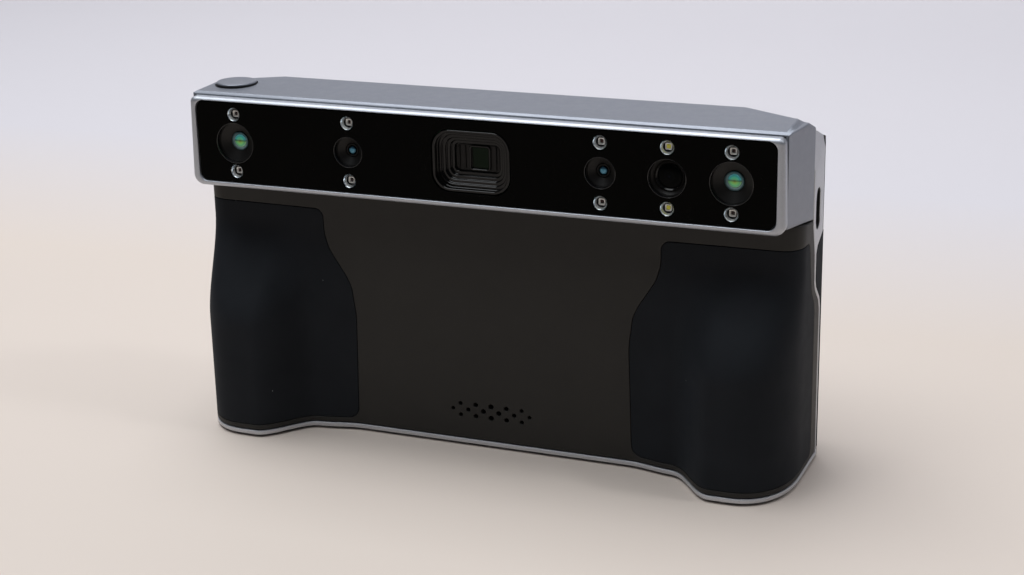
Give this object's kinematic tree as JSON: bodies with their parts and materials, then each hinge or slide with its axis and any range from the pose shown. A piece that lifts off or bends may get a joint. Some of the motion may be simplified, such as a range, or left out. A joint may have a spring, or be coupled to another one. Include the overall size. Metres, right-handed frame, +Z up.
{
  "type": "handheld 3d scanner",
  "caption": "Handheld structured-light 3-D scanner: camera bar over two rubber grips, flip-up rear screen, scan button on top.",
  "frame": {"origin": "middle of the underside, under the centre of the overall box", "axes": "+Z up, +X to the right seen from the camera window's side, -Y the way the cameras look, +Y the side of the screen"},
  "size_m": [0.173, 0.051, 0.0995],
  "materials": {
    "head_paint": "fine satin metallic grey",
    "bezel_metal": "fine blasted and anodised",
    "frame_metal": "fine blasted, light grey",
    "shell_plastic": "very fine spark-eroded texture",
    "grip_rubber": "soft-touch silicone, matt",
    "black_glass": "polished, back-printed black",
    "black_plastic": "matt moulded",
    "coated_lens": "polished with a green anti-reflection coating",
    "dark_lens": "polished",
    "reflector": "bright turned cup",
    "board": "green solder resist",
    "aluminium": "machined",
    "steel": "zinc plated",
    "brass": "turned",
    "battery_wrap": "heat-shrink wrap",
    "display": "display stack"
  },
  "bodies": {
    "root": {"head_housing": "head_paint", "front_bezel": "bezel_metal", "window_glass": "black_glass", "far_left_camera": "black_plastic", "far_left_lens": "coated_lens", "far_left_infrared_led_upper": "reflector", "far_left_infrared_led_lower": "reflector", "near_left_camera": "black_plastic", "near_left_lens": "dark_lens", "near_left_infrared_led_upper": "reflector", "near_left_infrared_led_lower": "reflector", "near_right_camera": "black_plastic", "near_right_lens": "dark_lens", "near_right_infrared_led_upper": "reflector", "near_right_infrared_led_lower": "reflector", "colour_camera": "black_plastic", "colour_lens": "dark_lens", "flash_led_upper": "reflector", "flash_led_lower": "reflector", "far_right_camera": "black_plastic", "far_right_lens": "coated_lens", "far_right_infrared_led_upper": "reflector", "far_right_infrared_led_lower": "reflector", "led_board": "board", "projector_hood": "black_plastic", "projector_lens": "dark_lens", "projector_module": "black_plastic", "optics_bracket": "aluminium", "front_shell": "shell_plastic", "mid_frame": "frame_metal", "rear_cover": "shell_plastic", "left_grip_pad": "grip_rubber", "right_grip_pad": "grip_rubber", "left_rear_grip_strip": "grip_rubber", "right_rear_grip_strip": "grip_rubber", "rear_screw_1": "steel", "rear_screw_2": "steel", "rear_screw_3": "steel", "rear_screw_4": "steel", "tripod_insert": "brass", "scan_switch": "black_plastic", "power_switch": "black_plastic", "usb_port": "steel", "main_board": "board", "heat_spreader": "aluminium", "left_battery": "battery_wrap", "right_battery": "battery_wrap", "speaker": "black_plastic", "left_hinge_bracket": "head_paint", "right_hinge_bracket": "head_paint", "left_hinge_pin": "steel", "right_hinge_pin": "steel", "hinge_cover": "shell_plastic"},
    "screen": {"screen_frame": "shell_plastic", "screen_back_cover": "head_paint", "display_panel": "display", "screen_glass": "black_glass"},
    "scan_button": {"scan_button": "head_paint"},
    "power_button": {"power_button": "head_paint"}
  },
  "joints": [
    {"name": "screen_hinge", "type": "hinge", "parent": "root", "child": "screen", "pos_m": [0, 0.0212, 0.088], "axis": [1, 0, 0], "range_deg": [0, 180]},
    {"name": "scan_button_press", "type": "slide", "parent": "root", "child": "scan_button", "axis": [0, 0, -1], "range_m": [0, 0.0008], "stiffness_N_per_m": 1500, "springref_m": -0.0003},
    {"name": "power_button_press", "type": "slide", "parent": "root", "child": "power_button", "axis": [1, 0, 0], "range_m": [0, 0.0005], "stiffness_N_per_m": 2000, "springref_m": -0.0002}
  ]
}
